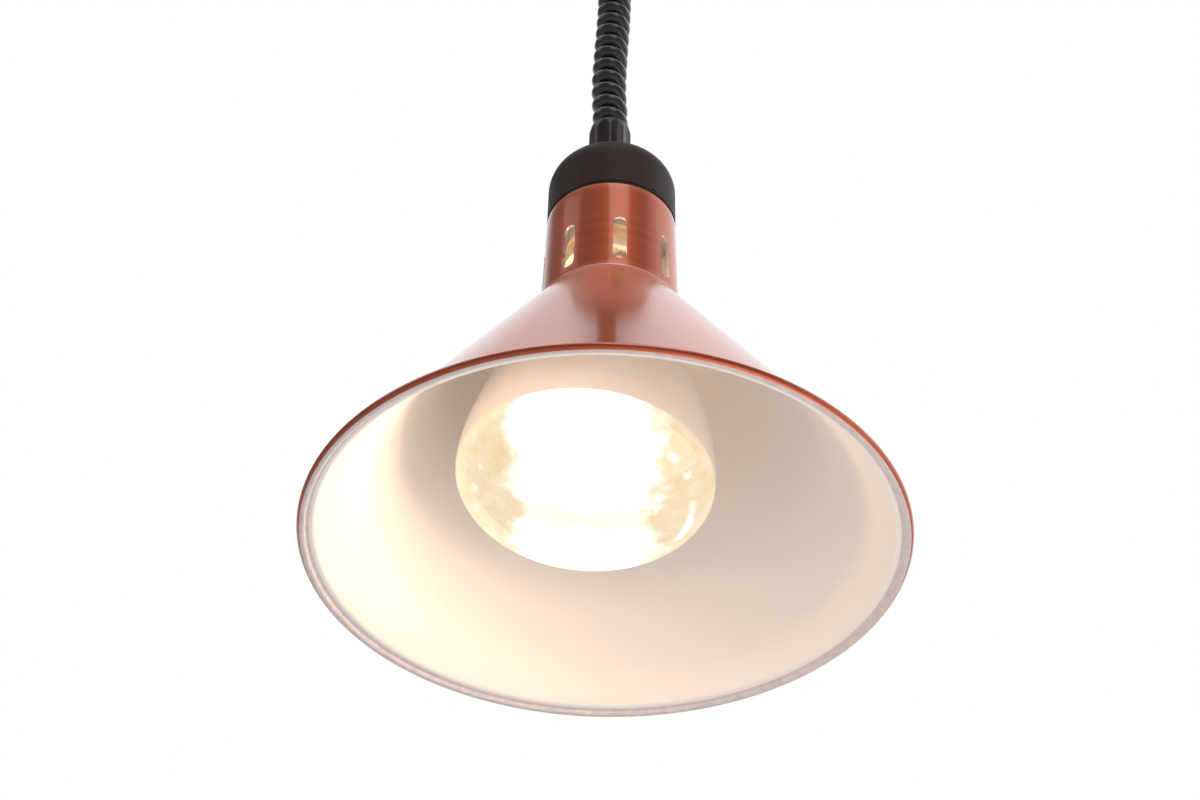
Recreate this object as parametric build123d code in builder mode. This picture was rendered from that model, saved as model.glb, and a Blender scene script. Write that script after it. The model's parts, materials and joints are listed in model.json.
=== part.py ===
"""Rise-and-fall heat lamp: a ceiling unit with a cable reel, a curly cord and a spun copper shade.

Millimetres, +Z up. The origin is the middle of the ceiling face, and the lamp hangs below it.
The cord's axis is x = 0, y = 0. The lamp head's own axis stands LAMP_X beside it, because the
steel cable is not gripped quite in the middle of the head.
"""
from build123d import *
from math import cos, pi, radians, sin, sqrt, tan
import os

# ---------------------------------------------------------------- driving dimensions
DROP = 600.0  # ceiling face to the rim's plane, with the lamp pulled up
FIT_GAP = 0.1  # play round a piece that is put through a hole
LAMP_X = 1.8  # the lamp head's axis beside the cord's axis

# shade: one spinning, cone and neck
RIM_R = 145.0
BEAD_R = 2.2  # the rolled edge, its centre level with the rim's plane
SHEET = 1.2
CONE_R = 138.9  # the cone's outer line carried down to the rim's plane
NECK_LOW_R, NECK_TOP_R = 36.4, 35.3
NECK_LOW_H, NECK_TOP_H = 155.7, 218.7  # heights over the rim
SLOT_COUNT, SLOT_WIDTH, SLOT_HEIGHT, SLOT_MID_H = 8, 7.0, 30.7, 176.6
SLOT_TURN = 7.5  # degrees from -Y towards +X to the first slot
NECK_FLANGE_R = 27.0  # inner edge of the neck's turned-in top
CREASE_STEP = 0.4  # the inner corner between cone and neck lies this much lower

# top cap
RING_T, RING_INSET = 2.0, 0.4
CAP_TOP_H = 262.4
CAP_SHOULDER = 17.0
CAP_WALL = 2.4
BOSS_Y, BOSS_R, BOSS_BORE, BOSS_BORE_L = 20.0, 4.0, 1.5, 16.0
SLIT_TURN, SLIT_HEIGHT, SLIT_WIDTH, SLIT_DEPTH = 40.0, 0.9, 4.0, 3.0
SLIT_H, SLIT_START = 1.6, 0.7  # over the cap's seat, and inside its wall

# cord glands, the same turning at both ends of the cord
GLAND_R, GLAND_MOUTH_R, GLAND_BORE = 12.3, 10.4, 9.2
SPIGOT_R = 11.0
LOCKNUT_R, LOCKNUT_T = 15.0, 5.0
LAMP_GLAND_BODY, LAMP_GLAND_NUT = 22.6, 16.5
CANOPY_GLAND_BODY, CANOPY_GLAND_NUT = 5.0, 10.0
FLUTES, FLUTE_R, FLUTE_DEPTH = 10, 14.0, 0.8

# cord and cable
COIL_R = 10.35
COIL_BORE = 1.95
FLEX_R = 4.2
FLEX_X = 4.9  # the flex lies beside the cable inside a gland
CABLE_R = 0.5
LEAD_R = 1.1
LEAD_Y = 1.9
PLATE_T, PLATE_R = 1.5, 13.5  # steel plate under the lamp gland's locknut
FERRULE_R = 2.2

# ceiling unit
CANOPY_R, CANOPY_DEPTH, CANOPY_WALL, CANOPY_CORNER = 55.0, 70.0, 2.0, 12.0
BRACKET_T, BRACKET_W = 2.0, 24.0
BRACKET_MIDDLE_X, BRACKET_MIDDLE_Y, BRACKET_MIDDLE_AT = 44.0, 56.0, 4.0
SLOT_SPACING, FIXING_SLOT_L, FIXING_SLOT_R = 70.0, 16.0, 2.5
TAB_X, TAB_DROP, TAB_W = 51.0, 16.0, 20.0
SIDE_SCREW_Z, SIDE_SCREW_R, SIDE_HEAD_R, SIDE_HEAD_T = -9.0, 1.9, 4.0, 2.4
SIDE_HEAD_ROUND, CROSS_LENGTH, CROSS_WIDTH, CROSS_DEPTH = 1.2, 6.5, 1.0, 0.9
BLOCK_X, BLOCK_Y, BLOCK_AT, BLOCK_LOW, BLOCK_T = 30.0, 16.0, -16.0, -14.0, 12.0
POLE_X, POLE_SCREW_Y, POLE_LEAD_Y = 9.0, -12.0, -20.0  # the block's screws and lead holes
POLE_SCREW_R, POLE_SCREW_L, POLE_SCREW_GAP = 2.0, 3.4, 0.5

# cable reel, its axle along X
REEL_Y, REEL_Z = 18.0, -34.0
WRAP_R = 18.0  # radius of the wound cable's centre line
HUB_R, FLANGE_R, FLANGE_T = 17.3, 24.0, 1.5
HUB_HALF = 4.0
AXLE_R, RUNNING_GAP = 3.0, 0.05
CUP_R, CUP_WALL, CUP_END = 20.0, 1.4, 10.2
CHEEK_X, CHEEK_T, CHEEK_HALF = 12.0, 1.5, 10.0
FRAME_SCREW_X, FRAME_SCREW_R, FRAME_HOLE_R, FRAME_HEAD_R, FRAME_HEAD_T = 8.0, 1.45, 1.6, 2.9, 2.0
AXLE_HEAD_R, AXLE_HEAD_T, AXLE_TAIL = 4.6, 1.6, 2.4
CLIP_R, CLIP_T, CLIP_GAP, CLIP_SLOT = 5.5, 0.9, 0.2, 4.0
WINDING_X = (-2.6, -1.3, 1.3, 2.6)  # the full turns, beside the one that leaves the drum
LAST_TURN = 300  # degrees of cable from the drum's end fixing to where it leaves
SPRING_START_R, SPRING_PITCH, SPRING_HALF_TURNS = 3.6, 1.9, 14
SPRING_T, SPRING_WIDTH, SPRING_GAP = 0.45, 3.6, 0.4

# lampholder and bulb hang on their own axis, leaning from a pivot point inside the neck
PIVOT_H = 205.0
LEAN_X, LEAN_Y = 3.3, 4.7  # degrees towards -X and -Y
HOLDER_R = 24.0
HOLDER_TOP, HOLDER_STEP, HOLDER_LOW, SOCKET_FLOOR = -6.0, 27.0, 42.0, 8.0
SKIRT_R = 19.0
HOLDER_EDGE, HOLDER_GROOVE = 1.5, 1.2  # its bevels, and the depth of the groove round it
RECESS_R, RECESS_FLOOR = 9.0, 3.0
HOLDER_SCREW_X, HOLDER_SCREW_R, HOLDER_SCREW_L, HOLDER_HEAD_R, HOLDER_HEAD_T = 12.0, 1.4, 9.0, 2.7, 1.6
SHELL_R, SHELL_T, SHELL_LOW, SHELL_LIP_R = 13.4, 0.5, 38.0, 9.0
SHELL_GAP = 0.15
CONTACT_T, CONTACT_HALF = 0.6, 2.5
PLATE_DEPTH, LEAN_PLATE_R = -7.5, 15.0  # the bracket's leaning plate, over the pivot
TUBE_R, TUBE_BORE = 6.0, 4.2
VENT_RING_R, VENT_HOLE_R = 22.0, 4.0
BRACKET_SCREW_R, BRACKET_SCREW_L, BRACKET_HOLE_R = 1.4, 15.0, 1.8
BRACKET_HEAD_R, BRACKET_HEAD_T = 2.8, 1.9
TERMINAL_X, TERMINAL_Y, TERMINAL_T = 5.0, 2.8, 3.4
BULB_R, BULB_RING = 62.5, 173.3  # widest radius, and its distance down the leaning axis
EDGE_R, FACE_R = 9.0, 105.0  # the face's rounded edge and its dome
BULB_NECK_R, CAP_R = 18.0, 13.0
BULB_TOP, BULB_TOP_R = 27.0, 12.2  # the glass inside the screw cap
NECK_START, NECK_END = 51.0, 58.0  # the straight stretch of the glass neck
FLANK = ((38.0, 93.0), (55.5, 132.0))  # (radius, depth) down the flared side
GLASS_T = 1.0
COAT_GAP, COAT_T, COAT_TOP = 0.25, 0.3, 60.0
CAP_LOW, CAP_HIGH = 41.5, 22.0
BULB_TIP, TIP_BASE = 16.5, 18.0
FILAMENT_U, FILAMENT_R, FILAMENT_COIL_R, WIRE_R = 96.0, 13.0, 0.9, 0.45
FILAMENT_ARC, SUPPORT_ANGLES = 300, (0, 75, 150, 225, 300)
DISC_H, DISC_T, DISC_R = 216.0, 1.5, 33.6

RIM_Z = -DROP
CORD_LOW = RIM_Z + CAP_TOP_H + LAMP_GLAND_BODY + LAMP_GLAND_NUT
CORD_HIGH = -CANOPY_DEPTH - CANOPY_GLAND_BODY - CANOPY_GLAND_NUT
CABLE_LOW = RIM_Z + CAP_TOP_H - 15.0


def spigot_length(prefix):
    """Wall thickness plus locknut: how far a gland's spigot goes through its wall."""
    return LOCKNUT_T + (CAP_WALL if prefix == "lamp" else CANOPY_WALL)


PLATE_TOP = RIM_Z + CAP_TOP_H - spigot_length("lamp")
CANOPY_TAIL = -CANOPY_DEPTH + spigot_length("canopy") + 1
LEAD_END = RIM_Z + PIVOT_H + 1.4

# The curly cord's route, from the lamp's gland up to the canopy's: it wanders round its cable.
CORD_ROUTE = [
    (0, 0, CORD_LOW),
    (0, 0, CORD_LOW + 10.5),
    (-1.0, 0.2, CORD_LOW + 26.5),
    (-1.3, 0, CORD_LOW + 43.5),
    (-0.5, -0.2, CORD_LOW + 69.5),
    (0.9, -0.2, CORD_LOW + 103.5),
    (1.2, 0.2, CORD_LOW + 137.5),
    (0.3, 0.2, CORD_LOW + 169.5),
    (0, 0, CORD_LOW + 192.5),
    (0, 0, CORD_HIGH),
]

# ---------------------------------------------------------------- planes and axes
CORD_AXIS = Axis((0, 0, 0), (0, 0, 1))
LAMP_AXIS = Axis((LAMP_X, 0, 0), (0, 0, 1))
REEL_AXIS = Axis((0, REEL_Y, REEL_Z), (1, 0, 0))
PIVOT = Vector(LAMP_X, 0, RIM_Z + PIVOT_H)
LEAN = Vector(-tan(radians(LEAN_X)), -tan(radians(LEAN_Y)), -1).normalized()
ACROSS = LEAN.cross(Vector(0, 1, 0)).normalized()
LEAN_AXIS = Axis(PIVOT, LEAN)

CORD_PROFILE = Plane.XZ
LAMP_PROFILE = Plane(origin=(LAMP_X, 0, RIM_Z), x_dir=(1, 0, 0), z_dir=(0, -1, 0))
REEL_PROFILE = Plane(origin=(0, REEL_Y, REEL_Z), x_dir=(1, 0, 0), z_dir=(0, -1, 0))

os.makedirs("parts", exist_ok=True)


def lamp_plane(height):
    """The level plane at a height over the rim, centred on the lamp head's axis."""
    return Plane(origin=(LAMP_X, 0, RIM_Z + height))


def lean_profile(angle):
    """A plane through the leaning axis, turned about it: x runs outward and y down the axis."""
    outward = ACROSS.rotate(Axis((0, 0, 0), LEAN), angle)
    return Plane(origin=PIVOT, x_dir=outward, z_dir=outward.cross(LEAN))


def lean_plane(depth):
    """The plane across the leaning axis at a distance down from the pivot, facing down."""
    return Plane(origin=PIVOT + LEAN * depth, x_dir=ACROSS, z_dir=LEAN)


LEAN_PROFILE = lean_profile(0)


def save(piece, label):
    """Label a finished piece and write its STEP file."""
    piece.part.label = label
    export_step(piece.part, f"parts/{label}.step")


def turned(label, profile, axis, points):
    """A plain turned piece: a closed outline of (radius, height) points, revolved."""
    with BuildPart() as piece:
        with BuildSketch(profile):
            with BuildLine():
                Polyline(*points, close=True)
            make_face()
        revolve(axis=axis)
    save(piece, label)
    return piece


def round_bend_radii(points):
    """The largest tangent arcs that each pair of runs allows, one for each corner."""
    corners = [Vector(*p) for p in points]
    radii = []
    for before, here, after in zip(corners, corners[1:], corners[2:]):
        half_turn = radians((here - before).get_angle(after - here)) / 2
        shorter = min((here - before).length, (after - here).length)
        radii.append(0.45 * shorter / tan(half_turn))
    return radii


def swept_tubes(label, routes, outer, bore=0.0):
    """Round tubes or wires, one along each route of straight runs and tangent arcs."""
    with BuildPart() as piece:
        for route in routes:
            start, second = Vector(*route[0]), Vector(*route[1])
            radii = round_bend_radii(route)
            with BuildLine() as path:
                FilletPolyline(*route, radius=radii)
            with BuildSketch(Plane(origin=start, z_dir=second - start)):
                Circle(outer)
                if bore:
                    Circle(bore, mode=Mode.SUBTRACT)
            sweep(path=path.wires()[0])
            print(label, "length", round(path.wires()[0].length, 1), "radii", [round(r) for r in radii])
    length_of_section = piece.part.volume / (pi * (outer**2 - bore**2))
    print(label, "volume", round(piece.part.volume, 1), "as a length", round(length_of_section, 1))
    save(piece, label)
    return piece


def cut_holes(plane, spots, radius, depth):
    """Round holes of one radius at the given (x, y) spots, cut both ways from a plane."""
    with BuildSketch(plane) as holes:
        with Locations(*spots):
            Circle(radius)
    extrude(holes.sketch, amount=depth, both=True, mode=Mode.SUBTRACT)


# ================================================================ ceiling unit
# Mounting bracket: a strap with two fixing slots, a wider middle and two turned-down tabs.
with BuildPart() as bracket:
    with BuildSketch(Plane.XY.offset(-BRACKET_T)):
        Rectangle(2 * TAB_X, BRACKET_W)
        with Locations((0, BRACKET_MIDDLE_AT)):
            Rectangle(BRACKET_MIDDLE_X, BRACKET_MIDDLE_Y)
        with Locations((-SLOT_SPACING / 2, 0), (SLOT_SPACING / 2, 0)):
            SlotOverall(FIXING_SLOT_L, 2 * FIXING_SLOT_R, mode=Mode.SUBTRACT)
        with Locations((-FRAME_SCREW_X, REEL_Y), (FRAME_SCREW_X, REEL_Y)):
            Circle(FRAME_HOLE_R, mode=Mode.SUBTRACT)
    extrude(amount=BRACKET_T)
    for side in (-1, 1):
        with BuildSketch(Plane.XY.offset(-TAB_DROP)):
            with Locations((side * (TAB_X - BRACKET_T / 2), 0)):
                Rectangle(BRACKET_T, TAB_W)
        extrude(amount=TAB_DROP)
    cut_holes(Plane.YZ, [(0, SIDE_SCREW_Z)], SIDE_SCREW_R + FIT_GAP, CANOPY_R)
save(bracket, "mounting_bracket")

# Canopy: the cup that covers the ceiling fixing, with the cord's hole in its floor.
with BuildPart() as canopy:
    with BuildSketch(CORD_PROFILE):
        with BuildLine():
            floor = -CANOPY_DEPTH
            inner_corner = CANOPY_CORNER - CANOPY_WALL
            cord_hole_r = SPIGOT_R + FIT_GAP
            Line((CANOPY_R, 0), (CANOPY_R, floor + CANOPY_CORNER))
            CenterArc((CANOPY_R - CANOPY_CORNER, floor + CANOPY_CORNER), CANOPY_CORNER, 0, -90)
            Line((CANOPY_R - CANOPY_CORNER, floor), (cord_hole_r, floor))
            Line((cord_hole_r, floor), (cord_hole_r, floor + CANOPY_WALL))
            Line((cord_hole_r, floor + CANOPY_WALL), (CANOPY_R - CANOPY_CORNER, floor + CANOPY_WALL))
            CenterArc((CANOPY_R - CANOPY_CORNER, floor + CANOPY_CORNER), inner_corner, -90, 90)
            Line((CANOPY_R - CANOPY_WALL, floor + CANOPY_CORNER), (CANOPY_R - CANOPY_WALL, 0))
            Line((CANOPY_R - CANOPY_WALL, 0), (CANOPY_R, 0))
        make_face()
    revolve(axis=CORD_AXIS)
    cut_holes(Plane.YZ, [(0, SIDE_SCREW_Z)], SIDE_SCREW_R + 3 * FIT_GAP, CANOPY_R + 5)
save(canopy, "canopy")

# Canopy screws: from outside through the canopy into the bracket's tabs.
with BuildPart() as canopy_screws:
    for side in (-1, 1):
        screw_start, head_seat = TAB_X - 3, CANOPY_R + FIT_GAP
        with BuildSketch(Plane(origin=(side * screw_start, 0, SIDE_SCREW_Z), z_dir=(side, 0, 0))):
            Circle(SIDE_SCREW_R)
        extrude(amount=head_seat + FIT_GAP - screw_start)
        with BuildSketch(Plane(origin=(side * head_seat, 0, SIDE_SCREW_Z), z_dir=(side, 0, 0))):
            Circle(SIDE_HEAD_R)
        extrude(amount=SIDE_HEAD_T)
    outer_rims = canopy_screws.edges().filter_by(GeomType.CIRCLE).group_by(Axis.X)
    fillet(outer_rims[0] + outer_rims[-1], radius=SIDE_HEAD_ROUND)
    for side in (-1, 1):
        cross_floor = head_seat + SIDE_HEAD_T - CROSS_DEPTH
        with BuildSketch(Plane(origin=(side * cross_floor, 0, SIDE_SCREW_Z), z_dir=(side, 0, 0))):
            Rectangle(CROSS_WIDTH, CROSS_LENGTH)
            Rectangle(CROSS_LENGTH, CROSS_WIDTH)
        extrude(amount=2 * CROSS_DEPTH, mode=Mode.SUBTRACT)
save(canopy_screws, "canopy_screws")

# Reel frame: a folded yoke under the bracket, with two cheeks that carry the axle.
with BuildPart() as reel_frame:
    yoke_width = 2 * (CHEEK_X + CHEEK_T)
    with BuildSketch(Plane.XY.offset(-BRACKET_T - CHEEK_T)):
        with Locations((0, REEL_Y)):
            Rectangle(yoke_width, 2 * CHEEK_HALF)
        with Locations((-FRAME_SCREW_X, REEL_Y), (FRAME_SCREW_X, REEL_Y)):
            Circle(FRAME_HOLE_R, mode=Mode.SUBTRACT)
    extrude(amount=CHEEK_T)
    for side in (-1, 1):
        with BuildSketch(Plane(origin=(side * CHEEK_X, REEL_Y, 0), x_dir=(0, 1, 0), z_dir=(side, 0, 0))):
            cheek_top = -BRACKET_T - CHEEK_T
            up = side  # the sketch's own Y runs up on one side and down on the other
            back, front = CHEEK_HALF, -CHEEK_HALF
            with BuildLine():
                Line((front, up * cheek_top), (back, up * cheek_top))
                Line((back, up * cheek_top), (back, up * REEL_Z))
                ThreePointArc((back, up * REEL_Z), (0, up * (REEL_Z - CHEEK_HALF)), (front, up * REEL_Z))
                Line((front, up * REEL_Z), (front, up * cheek_top))
            make_face()
            with Locations((0, up * REEL_Z)):
                Circle(AXLE_R + RUNNING_GAP, mode=Mode.SUBTRACT)
        extrude(amount=CHEEK_T)
save(reel_frame, "reel_frame")

# Reel frame screws: up through the yoke into the bracket.
with BuildPart() as frame_screws:
    for x in (-FRAME_SCREW_X, FRAME_SCREW_X):
        with BuildSketch(Plane(origin=(x, REEL_Y, -BRACKET_T - CHEEK_T - FRAME_HEAD_T))):
            Circle(FRAME_HEAD_R)
        extrude(amount=FRAME_HEAD_T)
        with BuildSketch(Plane(origin=(x, REEL_Y, -BRACKET_T - CHEEK_T))):
            Circle(FRAME_SCREW_R)
        extrude(amount=CHEEK_T + BRACKET_T - 2 * FIT_GAP)
save(frame_screws, "reel_frame_screws")

# Reel axle with a head, and the clip that keeps it in.
axle_head = CHEEK_X + CHEEK_T
turned("reel_axle", REEL_PROFILE, REEL_AXIS, [
    (-axle_head - AXLE_HEAD_T, 0), (-axle_head - AXLE_HEAD_T, AXLE_HEAD_R), (-axle_head, AXLE_HEAD_R),
    (-axle_head, AXLE_R), (axle_head + AXLE_TAIL, AXLE_R), (axle_head + AXLE_TAIL, 0)])
with BuildPart() as axle_clip:
    with BuildSketch(Plane.YZ.offset(axle_head + CLIP_GAP)):
        with Locations((REEL_Y, REEL_Z)):
            Circle(CLIP_R)
            Circle(AXLE_R + RUNNING_GAP, mode=Mode.SUBTRACT)
            with Locations((0, -5)):
                Rectangle(CLIP_SLOT, 5, mode=Mode.SUBTRACT)
    extrude(amount=CLIP_T)
save(axle_clip, "axle_clip")

# Reel drum: hub and flanges for the cable, and a cup beside them for the mainspring.
turned("reel_drum", REEL_PROFILE, REEL_AXIS, [
    (-HUB_HALF - FLANGE_T, AXLE_R + RUNNING_GAP), (-HUB_HALF - FLANGE_T, FLANGE_R), (-HUB_HALF, FLANGE_R),
    (-HUB_HALF, HUB_R), (HUB_HALF, HUB_R), (HUB_HALF, FLANGE_R), (HUB_HALF + FLANGE_T, FLANGE_R),
    (HUB_HALF + FLANGE_T, CUP_R), (CUP_END, CUP_R), (CUP_END, CUP_R - CUP_WALL),
    (HUB_HALF + FLANGE_T, CUP_R - CUP_WALL), (HUB_HALF + FLANGE_T, AXLE_R + RUNNING_GAP)])

# Wound cable: four full turns, and the last one from where the cable leaves the drum.
with BuildPart() as windings:
    for x in WINDING_X:
        with BuildSketch(REEL_PROFILE):
            with Locations((x, WRAP_R)):
                Circle(CABLE_R)
        revolve(axis=REEL_AXIS)
    with BuildSketch(Plane.XY.offset(REEL_Z)):
        Circle(CABLE_R)
    revolve(axis=REEL_AXIS, revolution_arc=-LAST_TURN)
save(windings, "cable_windings")

# Mainspring: a flat spiral of half circles, hooked on the axle and loose in the cup.
with BuildPart() as mainspring:
    with BuildSketch(Plane.YZ.offset(HUB_HALF + FLANGE_T + SPRING_GAP)):
        with BuildLine():
            radius, centre = SPRING_START_R, REEL_Y
            for half in range(SPRING_HALF_TURNS):
                start_angle = 0 if half % 2 == 0 else 180
                CenterArc((centre, REEL_Z), radius, start_angle, 180)
                centre += SPRING_PITCH / 2 if half % 2 == 0 else -SPRING_PITCH / 2
                radius += SPRING_PITCH / 2
        trace(line_width=SPRING_T)
    extrude(amount=SPRING_WIDTH)
save(mainspring, "mainspring")

# Terminal block with three screws, under the bracket's front edge.
with BuildPart() as terminal_block:
    with BuildSketch(Plane.XY.offset(BLOCK_LOW)):
        with Locations((0, BLOCK_AT)):
            Rectangle(BLOCK_X, BLOCK_Y)
    extrude(amount=BLOCK_T)
    fillet(terminal_block.edges().filter_by(Axis.Z), radius=1.5)
    screw_spots = [(x, POLE_SCREW_Y) for x in (-POLE_X, 0, POLE_X)]
    cut_holes(Plane.XY.offset(BLOCK_LOW), screw_spots, POLE_SCREW_R + 2 * FIT_GAP, 4)
    lead_spots = [(x, POLE_LEAD_Y) for x in (-POLE_X, POLE_X)]
    cut_holes(Plane.XY.offset(BLOCK_LOW), lead_spots, LEAD_R + FIT_GAP, 6)
save(terminal_block, "terminal_block")
with BuildPart() as terminal_screws:
    for x in (-POLE_X, 0, POLE_X):
        with BuildSketch(Plane(origin=(x, POLE_SCREW_Y, BLOCK_LOW + POLE_SCREW_GAP))):
            Circle(POLE_SCREW_R)
            Rectangle(0.6, 3.2, mode=Mode.SUBTRACT)
        extrude(amount=POLE_SCREW_L)
save(terminal_screws, "terminal_screws")


# ================================================================ glands, one at each end of the cord
def fluted_body(lines, length):
    """Turn an outline of (radius, height) points about the local Z axis and flute its outside."""
    with BuildPart() as piece:
        with BuildSketch(Plane.XZ):
            with BuildLine():
                Polyline(*lines, close=True)
            make_face()
        revolve(axis=Axis.Z)
        with BuildSketch(Plane.XY):
            with PolarLocations(GLAND_R + FLUTE_R - FLUTE_DEPTH, FLUTES):
                Circle(FLUTE_R)
        extrude(amount=length, mode=Mode.SUBTRACT)
    return piece


def gland(prefix, seat, body_length, nut_length):
    """A cord gland on its seat plane: body with spigot, clamping nut and locknut behind the wall."""
    stub = 0.6 * nut_length
    body = fluted_body([
        (GLAND_BORE, -spigot_length(prefix)), (SPIGOT_R, -spigot_length(prefix)), (SPIGOT_R, 0),
        (GLAND_R, 0), (GLAND_R, body_length), (GLAND_MOUTH_R - 0.2, body_length),
        (GLAND_MOUTH_R - 0.2, body_length + stub), (GLAND_BORE, body_length + stub)], body_length)
    nut = fluted_body([
        (GLAND_MOUTH_R - 0.1, body_length), (GLAND_R, body_length),
        (GLAND_R, body_length + 0.55 * nut_length), (GLAND_MOUTH_R + 0.9, body_length + 0.9 * nut_length),
        (GLAND_MOUTH_R, body_length + nut_length), (GLAND_BORE, body_length + nut_length),
        (GLAND_BORE, body_length + stub + 0.1), (GLAND_MOUTH_R - 0.1, body_length + stub + 0.1)],
        body_length + nut_length)
    with BuildPart() as locknut:
        with BuildSketch(Plane.XY.offset(-spigot_length(prefix))):
            RegularPolygon(LOCKNUT_R, 6)
            Circle(SPIGOT_R + FIT_GAP / 2, mode=Mode.SUBTRACT)
        extrude(amount=LOCKNUT_T)
    for piece, name in ((body, "gland_body"), (nut, "gland_nut"), (locknut, "locknut")):
        piece.part.locate(seat.location)
        save(piece, f"{prefix}_{name}")


LAMP_GLAND_SEAT = Plane(origin=(0, 0, RIM_Z + CAP_TOP_H))
CANOPY_GLAND_SEAT = Plane(origin=(0, 0, -CANOPY_DEPTH), z_dir=(0, 0, -1))
gland("canopy", CANOPY_GLAND_SEAT, CANOPY_GLAND_BODY, CANOPY_GLAND_NUT)
gland("lamp", LAMP_GLAND_SEAT, LAMP_GLAND_BODY, LAMP_GLAND_NUT)

# ================================================================ cord, cable and the leads inside
swept_tubes("curly_cord", [CORD_ROUTE], COIL_R, COIL_BORE)
turned("suspension_cable", CORD_PROFILE, CORD_AXIS, [
    (0, CABLE_LOW), (CABLE_R, CABLE_LOW), (CABLE_R, REEL_Z - 0.1), (0, REEL_Z - 0.1)])

# The flex's straight ends inside the two glands, and the leads that come out of them.
for label, low, high in (
    ("lamp_flex_tail", PLATE_TOP + 0.2, CORD_LOW - 0.5),
    ("canopy_flex_tail", CORD_HIGH + 0.5, CANOPY_TAIL),
):
    with BuildPart() as flex_tail:
        with BuildSketch(Plane(origin=(FLEX_X, 0, low))):
            Circle(FLEX_R)
        extrude(amount=high - low)
    save(flex_tail, label)

LEAD_TOP = BLOCK_LOW - 0.5
right_pole, left_pole = (POLE_X, POLE_LEAD_Y), (-POLE_X, POLE_LEAD_Y)
swept_tubes("canopy_leads", [
    [(FLEX_X, -LEAD_Y, CANOPY_TAIL), (FLEX_X, -LEAD_Y, -54), (*right_pole, -40), (*right_pole, LEAD_TOP)],
    [(FLEX_X, LEAD_Y, CANOPY_TAIL), (FLEX_X, LEAD_Y, -54), (-2, -10, -47), (*left_pole, -36),
     (*left_pole, LEAD_TOP)],
], LEAD_R)

# ================================================================ lamp head
# Shade: cone and neck in one sheet, a rolled edge at the rim and a turned-in flange at the top.
with BuildPart() as shade:
    slope = (CONE_R - NECK_LOW_R) / NECK_LOW_H
    skin = SHEET * sqrt(1 + slope**2)  # the cone's wall measured along the radius
    with BuildSketch(LAMP_PROFILE):
        with BuildLine():
            Polyline(
                (CONE_R, 0), (NECK_LOW_R, NECK_LOW_H), (NECK_TOP_R, NECK_TOP_H),
                (NECK_FLANGE_R, NECK_TOP_H), (NECK_FLANGE_R, NECK_TOP_H - SHEET),
                (NECK_TOP_R - SHEET, NECK_TOP_H - SHEET), (NECK_LOW_R - SHEET, NECK_LOW_H - CREASE_STEP),
                (CONE_R - skin, 0), close=True)
        make_face()
        with Locations((RIM_R - BEAD_R, 0)):
            Circle(BEAD_R)
        with Locations(((CONE_R - skin + RIM_R - BEAD_R) / 2, SHEET / 2)):
            Rectangle(RIM_R - BEAD_R - CONE_R + skin, SHEET)
    revolve(axis=LAMP_AXIS)
    for index in range(SLOT_COUNT):
        angle = radians(SLOT_TURN + index * 360 / SLOT_COUNT)
        outward = Vector(sin(angle), -cos(angle), 0)
        with BuildSketch(Plane(origin=Vector(LAMP_X, 0, RIM_Z + SLOT_MID_H), x_dir=(0, 0, 1), z_dir=outward)):
            SlotOverall(SLOT_HEIGHT, SLOT_WIDTH)
        extrude(amount=NECK_LOW_R + 5, mode=Mode.SUBTRACT)
save(shade, "shade")

# Ring between the neck and the cap.
turned("cap_ring", LAMP_PROFILE, LAMP_AXIS, [
    (NECK_FLANGE_R + RING_INSET, NECK_TOP_H), (NECK_TOP_R - RING_INSET, NECK_TOP_H),
    (NECK_TOP_R - RING_INSET, NECK_TOP_H + RING_T), (NECK_FLANGE_R + RING_INSET, NECK_TOP_H + RING_T)])

# Top cap: a cup with a rounded shoulder, two screw bosses and a small release slit.
with BuildPart() as top_cap:
    seat_h = NECK_TOP_H + RING_T
    shoulder_h = CAP_TOP_H - CAP_SHOULDER
    shoulder_x = NECK_TOP_R - CAP_SHOULDER
    with BuildSketch(LAMP_PROFILE):
        with BuildLine():
            Line((NECK_TOP_R, seat_h), (NECK_TOP_R, shoulder_h))
            CenterArc((shoulder_x, shoulder_h), CAP_SHOULDER, 0, 90)
            Line((shoulder_x, CAP_TOP_H), (0, CAP_TOP_H))
            Line((0, CAP_TOP_H), (0, CAP_TOP_H - CAP_WALL))
            Line((0, CAP_TOP_H - CAP_WALL), (shoulder_x, CAP_TOP_H - CAP_WALL))
            CenterArc((shoulder_x, shoulder_h), CAP_SHOULDER - CAP_WALL, 90, -90)
            Line((NECK_TOP_R - CAP_WALL, shoulder_h), (NECK_TOP_R - CAP_WALL, seat_h))
            Line((NECK_TOP_R - CAP_WALL, seat_h), (NECK_TOP_R, seat_h))
        make_face()
    revolve(axis=LAMP_AXIS)
    boss_low = DISC_H + DISC_T
    with BuildSketch(lamp_plane(boss_low)):
        with Locations((0, BOSS_Y), (0, -BOSS_Y)):
            Circle(BOSS_R)
    extrude(amount=CAP_TOP_H - 2 - boss_low)
    with BuildSketch(lamp_plane(boss_low)):
        with Locations((0, BOSS_Y), (0, -BOSS_Y)):
            Circle(BOSS_BORE)
    extrude(amount=BOSS_BORE_L, mode=Mode.SUBTRACT)
    with BuildSketch(Plane(origin=(0, 0, RIM_Z + CAP_TOP_H + 1))):
        Circle(SPIGOT_R + FIT_GAP)
    extrude(amount=-CAP_WALL - 2, mode=Mode.SUBTRACT)
    slit = radians(SLIT_TURN)
    slit_out = Vector(sin(slit), -cos(slit), 0)
    slit_at = Vector(LAMP_X, 0, RIM_Z + seat_h + SLIT_H) + slit_out * (NECK_TOP_R - SLIT_START)
    with BuildSketch(Plane(origin=slit_at, x_dir=(0, 0, 1), z_dir=slit_out)):
        Rectangle(SLIT_HEIGHT, SLIT_WIDTH)
    extrude(amount=SLIT_DEPTH, mode=Mode.SUBTRACT)
save(top_cap, "top_cap")

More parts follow.
